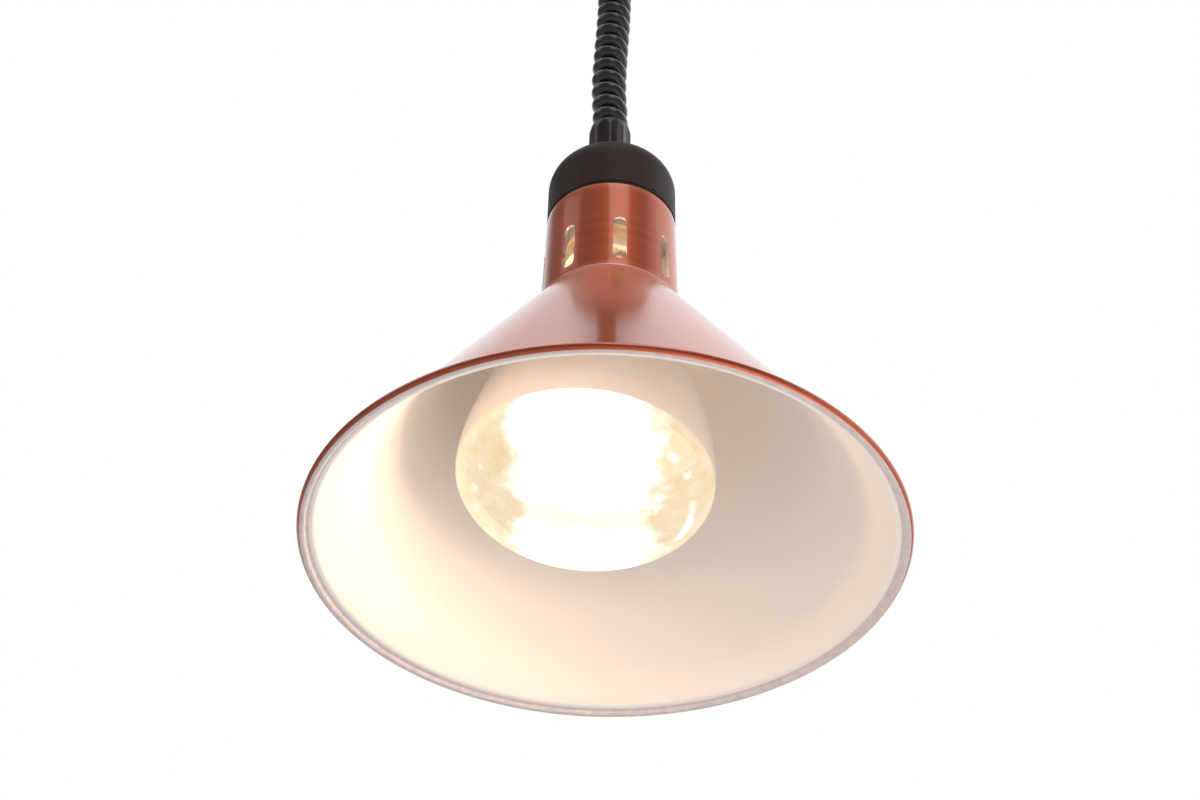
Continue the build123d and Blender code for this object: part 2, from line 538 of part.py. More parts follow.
# Cable anchor: a steel plate under the gland's locknut, and the ferrule that bears on it.
with BuildPart() as cable_anchor:
    with BuildSketch(Plane.XY.offset(PLATE_TOP - PLATE_T)):
        Circle(PLATE_R)
        Circle(CABLE_R + FIT_GAP, mode=Mode.SUBTRACT)
        with Locations((FLEX_X, LEAD_Y), (FLEX_X, -LEAD_Y)):
            Circle(LEAD_R + 2 * FIT_GAP, mode=Mode.SUBTRACT)
    extrude(amount=PLATE_T)
save(cable_anchor, "cable_anchor")
ferrule_bore, ferrule_top = CABLE_R + 0.06, PLATE_TOP - PLATE_T - 0.05
turned("cable_ferrule", CORD_PROFILE, CORD_AXIS, [
    (ferrule_bore, CABLE_LOW), (FERRULE_R, CABLE_LOW), (FERRULE_R, ferrule_top), (ferrule_bore, ferrule_top)])

# Holder bracket: a disc clamped under the neck's flange, a short tube and a leaning plate.
with BuildPart() as holder_bracket:
    with BuildSketch(lamp_plane(DISC_H)):
        Circle(DISC_R)
        with Locations((0, BOSS_Y), (0, -BOSS_Y)):
            Circle(BRACKET_HOLE_R, mode=Mode.SUBTRACT)
        with PolarLocations(VENT_RING_R, 4, start_angle=45):
            Circle(VENT_HOLE_R, mode=Mode.SUBTRACT)
    extrude(amount=DISC_T)
    with BuildSketch(lean_plane(PLATE_DEPTH)):
        Circle(LEAN_PLATE_R)
        with Locations((HOLDER_SCREW_X, 0), (-HOLDER_SCREW_X, 0)):
            Circle(HOLDER_SCREW_R + 2 * FIT_GAP, mode=Mode.SUBTRACT)
    extrude(amount=DISC_T)
    with BuildSketch(lamp_plane(DISC_H)):
        Circle(TUBE_R)
    extrude(amount=PIVOT_H - PLATE_DEPTH - DISC_H - 0.6)
    with BuildSketch(lamp_plane(DISC_H + 5)):
        Circle(TUBE_BORE)
    extrude(amount=-14, mode=Mode.SUBTRACT)
save(holder_bracket, "holder_bracket")

# Bracket screws: up through the disc into the cap's bosses, clamping the shade between.
with BuildPart() as bracket_screws:
    for y in (-BOSS_Y, BOSS_Y):
        with BuildSketch(Plane(origin=(LAMP_X, y, RIM_Z + DISC_H - BRACKET_HEAD_T))):
            Circle(BRACKET_HEAD_R)
            Rectangle(0.8, 4.4, mode=Mode.SUBTRACT)
        extrude(amount=BRACKET_HEAD_T)
        with BuildSketch(Plane(origin=(LAMP_X, y, RIM_Z + DISC_H))):
            Circle(BRACKET_SCREW_R)
        extrude(amount=BRACKET_SCREW_L)
save(bracket_screws, "bracket_screws")

# Lampholder: the porcelain body, on the leaning axis.
with BuildPart() as lampholder:
    with BuildSketch(LEAN_PROFILE):
        with BuildLine():
            bore = SHELL_R + SHELL_T + SHELL_GAP
            groove_r = HOLDER_R - HOLDER_GROOVE
            Polyline(
                (RECESS_R, HOLDER_TOP), (HOLDER_R - 2, HOLDER_TOP), (HOLDER_R, HOLDER_TOP + 2), (HOLDER_R, 9),
                (groove_r, 10.2), (groove_r, 12.4), (HOLDER_R, 13.6),
                (HOLDER_R, HOLDER_STEP - HOLDER_EDGE), (HOLDER_R - HOLDER_EDGE, HOLDER_STEP),
                (SKIRT_R, HOLDER_STEP), (SKIRT_R, HOLDER_LOW - HOLDER_EDGE),
                (SKIRT_R - HOLDER_EDGE, HOLDER_LOW), (bore, HOLDER_LOW), (bore, SOCKET_FLOOR),
                (0, SOCKET_FLOOR), (0, RECESS_FLOOR), (RECESS_R, RECESS_FLOOR), close=True)
        make_face()
    revolve(axis=LEAN_AXIS)
    with BuildSketch(lean_plane(HOLDER_TOP)):
        with Locations((HOLDER_SCREW_X, 0), (-HOLDER_SCREW_X, 0)):
            Circle(HOLDER_SCREW_R + FIT_GAP)
    extrude(amount=HOLDER_SCREW_L, mode=Mode.SUBTRACT)
save(lampholder, "lampholder")

# Holder screws: down through the leaning plate into the porcelain.
with BuildPart() as holder_screws:
    for x in (-HOLDER_SCREW_X, HOLDER_SCREW_X):
        with BuildSketch(lean_plane(PLATE_DEPTH - HOLDER_HEAD_T)):
            with Locations((x, 0)):
                Circle(HOLDER_HEAD_R)
        extrude(amount=HOLDER_HEAD_T)
        with BuildSketch(lean_plane(PLATE_DEPTH)):
            with Locations((x, 0)):
                Circle(HOLDER_SCREW_R)
        extrude(amount=HOLDER_SCREW_L)
save(holder_screws, "holder_screws")

# Screw shell that the bulb goes into, with a turned-in lip on the socket's floor.
turned("screw_shell", LEAN_PROFILE, LEAN_AXIS, [
    (SHELL_R, SOCKET_FLOOR + SHELL_T), (SHELL_R, SHELL_LOW), (SHELL_R + SHELL_T, SHELL_LOW),
    (SHELL_R + SHELL_T, SOCKET_FLOOR), (SHELL_LIP_R, SOCKET_FLOOR), (SHELL_LIP_R, SOCKET_FLOOR + SHELL_T)])

# Centre contact: a sprung brass tongue, bent up from the socket's floor to the bulb's tip.
with BuildPart() as centre_contact:
    with BuildSketch(LEAN_PROFILE):
        with BuildLine():
            foot_top = SOCKET_FLOOR + CONTACT_T
            Polyline(
                (-6, SOCKET_FLOOR), (5, SOCKET_FLOOR), (5, foot_top), (-4.4, foot_top),
                (2.6, BULB_TIP - 0.9), (5, BULB_TIP - 1.6), (5, BULB_TIP - 1.0), (2.4, BULB_TIP - 0.2),
                (-6, foot_top), close=True)
        make_face()
    extrude(amount=CONTACT_HALF, both=True)
save(centre_contact, "centre_contact")

# Terminals in the porcelain's top recess, and the two leads that come down to them.
with BuildPart() as holder_terminals:
    for y in (-LEAD_Y, LEAD_Y):
        with BuildSketch(lean_plane(RECESS_FLOOR)):
            with Locations((0, -y)):
                Rectangle(TERMINAL_X, TERMINAL_Y)
        extrude(amount=-TERMINAL_T)
save(holder_terminals, "holder_terminals")
lead_bends = (PLATE_TOP - 14, PLATE_TOP - 30)
swept_tubes("lamp_leads", [
    [(FLEX_X, y, PLATE_TOP), (FLEX_X, y, lead_bends[0]), (LAMP_X, y, lead_bends[1]), (LAMP_X, y, LEAD_END)]
    for y in (-LEAD_Y, LEAD_Y)
], LEAD_R)


# ================================================================ bulb
def bulb_wall(skin_depth):
    """The bulb's outline from its neck to the middle of its face, moved in by a depth."""
    edge_x = BULB_R - EDGE_R
    dome_y = BULB_RING - sqrt((FACE_R - EDGE_R) ** 2 - edge_x**2)
    tangent = (edge_x / (FACE_R - EDGE_R), (BULB_RING - dome_y) / (FACE_R - EDGE_R))
    edge, face, d = EDGE_R - skin_depth, FACE_R - skin_depth, skin_depth
    upper, lower = FLANK
    Line((BULB_TOP_R - d, BULB_TOP + d), (BULB_TOP_R - d, HOLDER_LOW))
    Spline((BULB_TOP_R - d, HOLDER_LOW), (BULB_NECK_R - d, NECK_START), tangents=((0, 1), (0, 1)))
    Line((BULB_NECK_R - d, NECK_START), (BULB_NECK_R - d, NECK_END))
    Spline(
        (BULB_NECK_R - d, NECK_END), (upper[0] - 0.8 * d, upper[1] + 0.6 * d),
        (lower[0] - 0.9 * d, lower[1] + 0.3 * d), (BULB_R - d, BULB_RING), tangents=((0, 1), (0, 1)))
    middle = (cos(radians(28)), sin(radians(28)))
    ThreePointArc(
        (BULB_R - d, BULB_RING), (edge_x + edge * middle[0], BULB_RING + edge * middle[1]),
        (edge_x + edge * tangent[0], BULB_RING + edge * tangent[1]))
    half = (face * sin(radians(17)), dome_y + face * cos(radians(17)))
    ThreePointArc((edge_x + edge * tangent[0], BULB_RING + edge * tangent[1]), half, (0, dome_y + face))
    return dome_y + face


def bulb_solid(skin_depth, mode=Mode.ADD):
    """The filled bulb shape, moved in by a depth."""
    with BuildSketch(LEAN_PROFILE) as section:
        with BuildLine():
            low = bulb_wall(skin_depth)
            Line((0, low), (0, BULB_TOP + skin_depth))
            Line((0, BULB_TOP + skin_depth), (BULB_TOP_R - skin_depth, BULB_TOP + skin_depth))
        make_face()
    revolve(section.sketch, axis=LEAN_AXIS, mode=mode)


with BuildPart() as bulb_glass:
    bulb_solid(0)
    bulb_solid(GLASS_T, Mode.SUBTRACT)
save(bulb_glass, "bulb_glass")

# Reflector: the thin metal coat behind the glass, from the neck to the widest ring.
with BuildPart() as reflector:
    bulb_solid(GLASS_T + COAT_GAP)
    bulb_solid(GLASS_T + COAT_GAP + COAT_T, Mode.SUBTRACT)
    split(bisect_by=lean_plane(BULB_RING - 1), keep=Keep.BOTTOM)
    split(bisect_by=lean_plane(COAT_TOP), keep=Keep.TOP)
save(reflector, "bulb_reflector")

# Screw cap, its black insulator and the solder tip.
turned("bulb_cap", LEAN_PROFILE, LEAN_AXIS, [
    (CAP_R - 0.5, CAP_HIGH), (CAP_R - 0.5, CAP_LOW), (CAP_R, CAP_LOW), (CAP_R, CAP_HIGH + 0.5),
    (CAP_R - 1.5, CAP_HIGH - 1.5), (9.5, CAP_HIGH - 1.5), (9.5, CAP_HIGH)])
turned("cap_insulator", LEAN_PROFILE, LEAN_AXIS, [
    (0, TIP_BASE), (4.5, TIP_BASE), (9.5, CAP_HIGH - 1.6), (9.4, CAP_HIGH + 2), (0, CAP_HIGH + 2)])
turned("bulb_tip", LEAN_PROFILE, LEAN_AXIS, [
    (0, BULB_TIP), (2.4, BULB_TIP + 0.3), (3.6, BULB_TIP + 0.9), (4.2, TIP_BASE), (0, TIP_BASE)])

# Inside the glass: the stem, the filament and its supports.
turned("glass_stem", LEAN_PROFILE, LEAN_AXIS, [
    (0, 28.2), (10.5, 28.2), (6, 34), (4.2, 44), (3.0, 62), (4.2, 66), (3.0, 70), (0, 70)])
with BuildPart() as filament:
    with BuildSketch(LEAN_PROFILE):
        with Locations((FILAMENT_R, FILAMENT_U)):
            Circle(FILAMENT_COIL_R)
    revolve(axis=LEAN_AXIS, revolution_arc=FILAMENT_ARC)
save(filament, "filament")
with BuildPart() as filament_supports:
    for angle in SUPPORT_ANGLES:
        with BuildLine(lean_profile(angle)) as wire:
            FilletPolyline((4.4, 66.5), (FILAMENT_R - 3, 80), (FILAMENT_R, FILAMENT_U - 1.0), radius=6)
        with BuildSketch(Plane(origin=wire.line @ 0, z_dir=wire.line % 0)):
            Circle(WIRE_R)
        sweep(path=wire.wires()[0])
save(filament_supports, "filament_supports")
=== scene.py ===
"""Looks of the rise-and-fall heat lamp, in metres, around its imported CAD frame.

The shade, the bulb's glass, the curly cord and the steel cable are built here. The other
pieces keep their CAD shape and get a material each.
"""
import json
import math

import bmesh
import bpy
import numpy as np
from mathutils import Matrix, Vector


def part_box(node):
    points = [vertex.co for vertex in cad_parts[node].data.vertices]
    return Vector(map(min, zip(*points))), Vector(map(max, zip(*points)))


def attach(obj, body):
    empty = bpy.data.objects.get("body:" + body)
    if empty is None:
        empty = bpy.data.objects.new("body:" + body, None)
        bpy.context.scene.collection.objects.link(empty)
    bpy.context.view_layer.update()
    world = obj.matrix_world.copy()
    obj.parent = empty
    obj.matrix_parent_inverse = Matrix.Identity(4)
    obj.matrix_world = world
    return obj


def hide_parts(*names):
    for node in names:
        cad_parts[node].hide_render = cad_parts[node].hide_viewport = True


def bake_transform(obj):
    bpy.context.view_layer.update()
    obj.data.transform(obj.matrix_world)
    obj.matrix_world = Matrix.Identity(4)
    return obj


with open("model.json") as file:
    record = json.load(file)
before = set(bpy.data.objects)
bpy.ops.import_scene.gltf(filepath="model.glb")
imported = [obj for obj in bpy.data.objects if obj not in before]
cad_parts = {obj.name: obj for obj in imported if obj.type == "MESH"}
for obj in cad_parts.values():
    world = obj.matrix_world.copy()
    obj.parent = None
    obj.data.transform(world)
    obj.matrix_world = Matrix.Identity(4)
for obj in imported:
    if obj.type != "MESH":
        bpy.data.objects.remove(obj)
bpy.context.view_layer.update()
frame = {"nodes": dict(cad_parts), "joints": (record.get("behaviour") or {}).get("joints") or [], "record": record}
MM = 0.001
BEAD_R = 2.2 * MM  # the shade's rolled edge, its centre level with the rim's plane

# ---------------------------------------------------------------- places, from the frame
SHADE_LOW, SHADE_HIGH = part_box("shade")
RIM_Z = SHADE_LOW.z + BEAD_R
RIM_MIDDLE = Vector(((SHADE_LOW.x + SHADE_HIGH.x) / 2, 0, RIM_Z))
RIM_R = (SHADE_HIGH.x - SHADE_LOW.x) / 2
JOINTS = {joint["name"]: joint for joint in frame["joints"]}
LEAN = Vector(JOINTS["bulb_turn"]["axis"]).normalized()
PIVOT = Vector(JOINTS["bulb_turn"]["pos_m"])

# ---------------------------------------------------------------- the shade's sizes, as in the CAD
FLARE_H, LIP_H = 1.8 * MM, 0.2 * MM  # the wall curves out over this height into the rim's lip
SHEET = 1.2 * MM
CONE_R = 138.9 * MM
CREASE_R, CREASE_INSET = 0.45 * MM, 0.1 * MM  # the small bead where the cone meets the neck
NECK_EDGE_R = 0.6 * MM  # the round at the neck's top
NECK_LOW_R, NECK_TOP_R, NECK_FLANGE_R = 36.4 * MM, 35.3 * MM, 27.0 * MM
NECK_LOW_H, NECK_TOP_H = 155.7 * MM, 218.7 * MM
SLOT_COUNT, SLOT_WIDTH, SLOT_HEIGHT, SLOT_MID_H = 8, 7.0 * MM, 30.7 * MM, 176.6 * MM
SLOT_TURN = math.radians(7.5)
COPPER_END = -68  # degrees round the rolled edge, from outward, to where the copper lacquer stops
SLOT_FLARE = 0.2  # how much a vent's cut edge opens outwards
SLOT_CUT_FROM, SLOT_CUT_TO = 20 * MM, 45 * MM  # from the axis, inside the wall and outside it
COPPER_BAND, ENAMEL_BAND, RIM_BAND, BARE_BAND = 0, 1, 2, 3  # the shade's materials, in their order

# ---------------------------------------------------------------- the bulb, (radius, depth) along its axis
BULB_R, BULB_RING, EDGE_R, FACE_R = 62.5 * MM, 173.3 * MM, 9.0 * MM, 105.0 * MM
GLASS_T = 1.0 * MM
COAT_END = 14  # degrees round the face's edge to where the coat stops
FACE_END = 89.6  # degrees round the face, just short of its middle
FACE_INSET, FACE_LEAST_R = 0.4 * MM, 0.5 * MM  # the face's inside: how far in it is, and its smallest radius
COLLAR = [(12.2 * MM, 43 * MM), (13.2 * MM, 45 * MM), (16.6 * MM, 48.6 * MM), (18 * MM, 52 * MM)]
SIDE = [(18 * MM, 58 * MM), (38 * MM, 93 * MM), (55.5 * MM, 132 * MM), (BULB_R, BULB_RING)]

# ---------------------------------------------------------------- the curly cord and the steel cable
FLEX_R, COIL_MEAN_R, TAIL_X = 4.2 * MM, 6.15 * MM, 4.9 * MM
CABLE_R = 0.5 * MM
TURNS = 20.39
GLAND_TURN = 0.61  # turns that the flex makes inside the lamp's gland, before its coils start
GLAND_EASE = 6.6  # how late in the gland it makes them, so that they run on into the coils
LOW_PITCH, HIGH_PITCH = 11.5, 9.7  # how the coils spread near the lamp and near the canopy
CORD_ROUTE = [
    (0, 0, -0.2985),
    (0, 0, -0.288),
    (-0.0010, 0.0002, -0.272),
    (-0.0013, 0, -0.255),
    (-0.0005, -0.0002, -0.229),
    (0.0009, -0.0002, -0.195),
    (0.0012, 0.0002, -0.161),
    (0.0003, 0.0002, -0.129),
    (0, 0, -0.106),
    (0, 0, -0.085),
]

# ---------------------------------------------------------------- the lit bulb's light
BULB_COLOUR, VENT_COLOUR = (1.0, 0.63, 0.39), (1.0, 0.80, 0.60)
BULB_WATTS, BULB_GLOW_R, BULB_GLOW_ASIDE = 0.24, 6 * MM, Vector((-16 * MM, 4 * MM, 0))
EDGE_COUNT, EDGE_WATTS, EDGE_LENGTH, EDGE_WIDTH = 10, 0.020, 34 * MM, 8 * MM
EDGE_LEAN = 0.70  # how much more the edge gives towards -X, and how much less towards +X
EDGE_TURN = 45  # degrees round the edge to where most of the light leaves it
VENT_WATTS, VENT_GLOW_R, VENT_REACH, VENT_H = 0.012, 2 * MM, 30 * MM, 172 * MM
GLOW_GAP = 1 * MM  # a glow's distance from the edge's surface, or from the level of the bulb's widest ring

# ---------------------------------------------------------------- camera and stage
CAMERA_PLACE = (0.0018, -0.7240, -1.1346)
CAMERA_PITCH, CAMERA_YAW, CAMERA_ROLL = math.radians(41.016), math.radians(-0.305), math.radians(-1.382)
CAMERA_LENS, CAMERA_SENSOR = 56.95, 36  # in mm
NECK_MIDDLE_H = 180 * MM
FLOOR_Z, FLOOR_SIZE = -1.75, 14


# ================================================================ camera, light and stage
def look_along(pitch, yaw, roll):
    """A camera's turn: level to +Y, then lifted, turned to the side and rolled."""
    forward = Vector((math.sin(yaw) * math.cos(pitch), math.cos(yaw) * math.cos(pitch), math.sin(pitch)))
    level = forward.cross(Vector((0, 0, 1))).normalized()
    above = level.cross(forward)
    right = level * math.cos(roll) - above * math.sin(roll)
    up = level * math.sin(roll) + above * math.cos(roll)
    return Matrix((right, up, -forward)).transposed().to_4x4()


def make_camera():
    """The camera looks up at the lamp from the front."""
    data = bpy.data.cameras.new("camera")
    data.sensor_width = CAMERA_SENSOR
    data.lens = CAMERA_LENS
    camera = bpy.data.objects.new("camera", data)
    turn = look_along(CAMERA_PITCH, CAMERA_YAW, CAMERA_ROLL)
    camera.matrix_world = Matrix.Translation(CAMERA_PLACE) @ turn
    bpy.context.scene.collection.objects.link(camera)
    bpy.context.scene.camera = camera


def add_light(name, kind, place, watts, colour, facing=None):
    """A light that the camera doesn't see. An area light shines along facing."""
    data = bpy.data.lights.new(name, kind)
    data.energy = watts
    data.color = colour
    light = bpy.data.objects.new(name, data)
    light.location = place
    if facing is not None:
        light.rotation_euler = facing.to_track_quat("-Z", "Y").to_euler()
    light.visible_camera = False
    bpy.context.scene.collection.objects.link(light)
    return light


def size_panel(light, width, height):
    """Make an area light a rectangle of this size."""
    light.data.shape = "RECTANGLE"
    light.data.size, light.data.size_y = width, height


def softbox(name, place, target, width, height, radiance, colour=(1, 1, 1)):
    """A rectangular studio light that faces a target, given by how bright its face is."""
    watts = radiance * math.pi * width * height
    size_panel(add_light(name, "AREA", place, watts, colour, target - place), width, height)


def add_glow(name, kind, place, watts, colour, body, facing=None):
    """Light of the bulb's own, which rides on a body and shows in no reflection."""
    light = add_light(name, kind, place, watts, colour, facing)
    light.visible_glossy = False
    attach(light, body)
    return light


def bulb_glow():
    """The filament's light, behind the face and off the axis, towards the side that the bulb leans to."""
    place = PIVOT + LEAN * (BULB_RING - GLOW_GAP) + BULB_GLOW_ASIDE
    light = add_glow("bulb_glow", "POINT", place, BULB_WATTS, BULB_COLOUR, "bulb_carriage")
    light.data.shadow_soft_size = BULB_GLOW_R


def edge_glow():
    """The light from the face's rounded edge, strongest on the side that the bulb leans to."""
    side = LEAN.cross(Vector((0, 1, 0))).normalized()
    front = LEAN.cross(side)
    turn = math.radians(EDGE_TURN)
    for index in range(EDGE_COUNT):
        angle = 2 * math.pi * index / EDGE_COUNT
        outward = side * math.cos(angle) + front * math.sin(angle)
        normal = outward * math.cos(turn) + LEAN * math.sin(turn)
        edge_middle = PIVOT + LEAN * BULB_RING + outward * (BULB_R - EDGE_R)
        place = edge_middle + normal * (EDGE_R + GLOW_GAP)
        watts = EDGE_WATTS * (1 - EDGE_LEAN * outward.x)
        light = add_glow("edge_glow", "AREA", place, watts, BULB_COLOUR, "bulb_carriage", normal)
        size_panel(light, EDGE_LENGTH, EDGE_WIDTH)


def vent_glow(index):
    """Light that leaks up the neck past the porcelain, between two vents."""
    angle = SLOT_TURN + (index + 0.5) * 2 * math.pi / SLOT_COUNT
    reach = Vector((VENT_REACH * math.sin(angle), -VENT_REACH * math.cos(angle), VENT_H))
    light = add_glow("vent_glow", "POINT", RIM_MIDDLE + reach, VENT_WATTS, VENT_COLOUR, "lamp_head")
    light.data.shadow_soft_size = VENT_GLOW_R


def make_light():
    """Soft studio light, a bright sky behind and above, and the glow of the lit bulb."""
    neck = RIM_MIDDLE + Vector((0, 0, NECK_MIDDLE_H))
    below_rim = RIM_MIDDLE + Vector((0.20, -0.08, -0.34))
    softbox("key_light", neck + Vector((0.26, -1.10, 1.10)), neck, 0.62, 1.1, 1.35)
    softbox("side_light", neck + Vector((-1.30, -0.35, 0.95)), neck, 0.7, 0.9, 0.6)
    softbox("low_light", neck + Vector((0.5, -1.4, -1.0)), neck, 1.6, 1.0, 0.25)
    softbox("bounce_light", below_rim, RIM_MIDDLE, 0.5, 0.5, 1.40, (1.0, 0.74, 0.57))
    bulb_glow()
    edge_glow()
    for index in range(SLOT_COUNT):
        vent_glow(index)
    world = bpy.data.worlds.new("studio")
    bpy.context.scene.world = world
    world.use_nodes = True
    tree = world.node_tree
    background = tree.nodes["Background"]
    direction = node(tree, "TexCoord").outputs["Generated"]
    axes = node(tree, "SeparateXYZ", {"Vector": direction})
    lean_right = calc(tree, "MULTIPLY", axes.outputs["X"], 0.56)
    toward = calc(tree, "ADD", lean_right, calc(tree, "MULTIPLY", axes.outputs["Y"], 0.89))
    behind = node(tree, "MapRange", {
        "Value": toward, "From Min": 0.02, "From Max": 0.42, "To Min": 0.25, "To Max": 1.2})
    overhead = node(tree, "MapRange", {
        "Value": axes.outputs["Z"], "From Min": 0.75, "From Max": 0.95, "To Min": 0.0, "To Max": 1.2})
    sky = calc(tree, "MAXIMUM", behind.outputs[0], overhead.outputs[0])
    seen = node(tree, "LightPath").outputs["Is Camera Ray"]
    level = node(tree, "Mix", {"Factor": seen, "A": sky, "B": 1.0}, data_type="FLOAT")
    tint = mixed(tree, seen, (0.90, 0.96, 1.0), (1, 1, 1))
    tree.links.new(tint, background.inputs["Color"])
    tree.links.new(level.outputs[0], background.inputs["Strength"])


def make_floor():
    """A plain pale floor, well below the hanging lamp."""
    bpy.ops.mesh.primitive_plane_add(size=FLOOR_SIZE, location=(0, 0, FLOOR_Z))
    floor = bpy.context.object
    floor.name = "floor"
    paint = mottled("floor_paint", (0.62, 0.62, 0.61), (0.66, 0.66, 0.65), 3, (0.7, 0.8), 0)
    floor.data.materials.append(paint)


# ================================================================ material helpers
def node(tree, kind, inputs=None, **settings):
    """A shader node with its settings and its inputs, which are values or sockets to link."""
    made = tree.nodes.new("ShaderNode" + kind)
    for key, value in settings.items():
        setattr(made, key, value)
    for key, value in (inputs or {}).items():
        socket = made.inputs[key]
        if isinstance(value, bpy.types.NodeSocket):
            tree.links.new(value, socket)
        else:
            socket.default_value = value
    return made


def calc(tree, operation, a, b=0.0, clamp=False):
    """The result of a two-sided calculation."""
    made = node(tree, "Math", {0: a, 1: b}, operation=operation, use_clamp=clamp)
    return made.outputs[0]


def ranged(tree, value, low, high, to_low=0.0, to_high=1.0, smooth=False):
    """A value mapped from one range to another and kept inside it."""
    made = node(tree, "MapRange", {
        "Value": value, "From Min": low, "From Max": high, "To Min": to_low, "To Max": to_high})
    made.interpolation_type = "SMOOTHSTEP" if smooth else "LINEAR"
    return made.outputs[0]


def mixed(tree, factor, a, b):
    """Two colours mixed by a factor."""
    made = node(tree, "Mix", {"Factor": factor}, data_type="RGBA")
    for socket, colour in ((made.inputs[6], a), (made.inputs[7], b)):
        if isinstance(colour, bpy.types.NodeSocket):
            tree.links.new(colour, socket)
        else:
            socket.default_value = (*colour, 1)
    return made.outputs[2]


def noise(tree, place, scale, detail=3.0, roughness=0.5):
    """A noise value at a place."""
    made = node(tree, "TexNoise", {"Vector": place, "Scale": scale, "Detail": detail, "Roughness": roughness})
    return made.outputs["Fac"]


def new_surface(name, metallic=0.0, coat=0.0, coat_roughness=0.05, specular=0.5):
    """A material with its node tree, its shader and the object's coordinates."""
    material = bpy.data.materials.new(name)
    material.use_nodes = True
    tree = material.node_tree
    shader = tree.nodes["Principled BSDF"]
    shader.inputs["Metallic"].default_value = metallic
    shader.inputs["Coat Weight"].default_value = coat
    shader.inputs["Coat Roughness"].default_value = coat_roughness
    shader.inputs["Specular IOR Level"].default_value = specular
    return material, tree, shader, node(tree, "TexCoord").outputs["Object"]


def dress(tree, shader, colour, roughness, height=None, bump=0.0, depth=0.0002):
    """Link a surface's colour, roughness and bump."""
    tree.links.new(colour, shader.inputs["Base Color"])
    tree.links.new(roughness, shader.inputs["Roughness"])
    if height is not None and bump:
        bumped = node(tree, "Bump", {"Height": height, "Strength": bump, "Distance": depth})
        tree.links.new(bumped.outputs[0], shader.inputs["Normal"])


def mottled(name, dark, light, scale, rough, bump, stretch=(1, 1, 1), fine=900, depth=0.0002, **constants):
    """A surface whose colour and gloss drift, with a fine grain."""
    material, tree, shader, place = new_surface(name, **constants)
    stretched = node(tree, "Mapping", {"Vector": place, "Scale": stretch}).outputs[0]
    drift = noise(tree, stretched, scale)
    grain = noise(tree, stretched, fine, 4.0, 0.6)
    colour = mixed(tree, ranged(tree, drift, 0.3, 0.7), dark, light)
    gloss = ranged(tree, calc(tree, "ADD", drift, calc(tree, "MULTIPLY", grain, 0.5)), 0.5, 1.0, *rough)
    dress(tree, shader, colour, gloss, grain, bump, depth)
    return material


def lamp_coordinates(tree, place):
    """Radius, height over the rim and angle about the lamp head's axis."""
    axes = node(tree, "SeparateXYZ", {"Vector": place})
    x = calc(tree, "SUBTRACT", axes.outputs["X"], RIM_MIDDLE.x)
    y = axes.outputs["Y"]
    radius = calc(tree, "SQRT", calc(tree, "ADD", calc(tree, "MULTIPLY", x, x), calc(tree, "MULTIPLY", y, y)))
    height = calc(tree, "SUBTRACT", axes.outputs["Z"], RIM_Z)
    return radius, height, calc(tree, "ARCTAN2", y, x)


# ================================================================ materials
def copper_lacquer():
    """Spun aluminium under copper-coloured lacquer: fine rings round the axis, then a clear gloss, and a painted
    highlight along the crease.
    """
    material, tree, shader, place = new_surface(
        "copper_lacquer", metallic=0.85, coat=1.0, coat_roughness=0.14, specular=0.4)
    shader.inputs["Coat IOR"].default_value = 1.56
    shader.inputs["Specular Tint"].default_value = (1, 0.55, 0.36, 1)
    radius, height, angle = lamp_coordinates(tree, place)
    rings = node(tree, "CombineXYZ", {
        "X": calc(tree, "MULTIPLY", radius, 1000), "Y": calc(tree, "MULTIPLY", height, 1000),
        "Z": calc(tree, "MULTIPLY", calc(tree, "SINE", angle), 0.8)}).outputs[0]
    brushed = noise(tree, rings, 2.4, 4.0, 0.7)
    wide = noise(tree, rings, 0.25, 2.0)
    drift = noise(tree, place, 14)
    tone = calc(tree, "ADD", calc(tree, "MULTIPLY", brushed, 0.5), calc(tree, "MULTIPLY", wide, 0.5))
    spun = mixed(tree, ranged(tree, tone, 0.3, 0.7), (0.47, 0.070, 0.018), (0.59, 0.108, 0.034))
    # A thin pale line along the crease between the cone and the neck is a painted highlight.
    from_crease = calc(tree, "ABSOLUTE", calc(tree, "SUBTRACT", height, NECK_LOW_H + 0.2 * MM))
    crease_highlight = ranged(tree, from_crease, 0.3 * MM, 0.6 * MM, 0.75, 0.0)
    colour = mixed(tree, crease_highlight, spun, (0.95, 0.66, 0.50))
    gloss = ranged(tree, calc(tree, "ADD", brushed, calc(tree, "MULTIPLY", drift, 0.3)), 0.4, 0.9, 0.32, 0.44)
    dress(tree, shader, colour, gloss, brushed, 0.10, 0.00006)
    shader.inputs["Anisotropic"].default_value = 0.6
    return material


def satin_enamel():
    """White satin paint inside the shade, slightly orange-peeled, and a little darker and warmer towards the neck.
    """
    material, tree, shader, place = new_surface("satin_enamel", coat=0.0, specular=0.35)
    _, height, _ = lamp_coordinates(tree, place)
    peel = noise(tree, place, 500, 2.0)
    drift = noise(tree, place, 10)
    warm = ranged(tree, calc(tree, "ADD", height, calc(tree, "MULTIPLY", drift, 0.02)), 0.0, 0.16)
    colour = mixed(tree, warm, (0.83, 0.81, 0.79), (0.80, 0.76, 0.72))
    gloss = ranged(tree, drift, 0.3, 0.7, 0.42, 0.52)
    dress(tree, shader, colour, gloss, peel, 0.08, 0.0001)
    return material


def shaded_rim_enamel():
    """The white paint under the rolled rim, painted darker and cooler as shade, since the bulb's light doesn't
    reach it.
    """
    return mottled("shaded_rim_enamel", (0.54, 0.50, 0.52), (0.64, 0.60, 0.62), 260, (0.4, 0.55), 0.25, fine=1400)


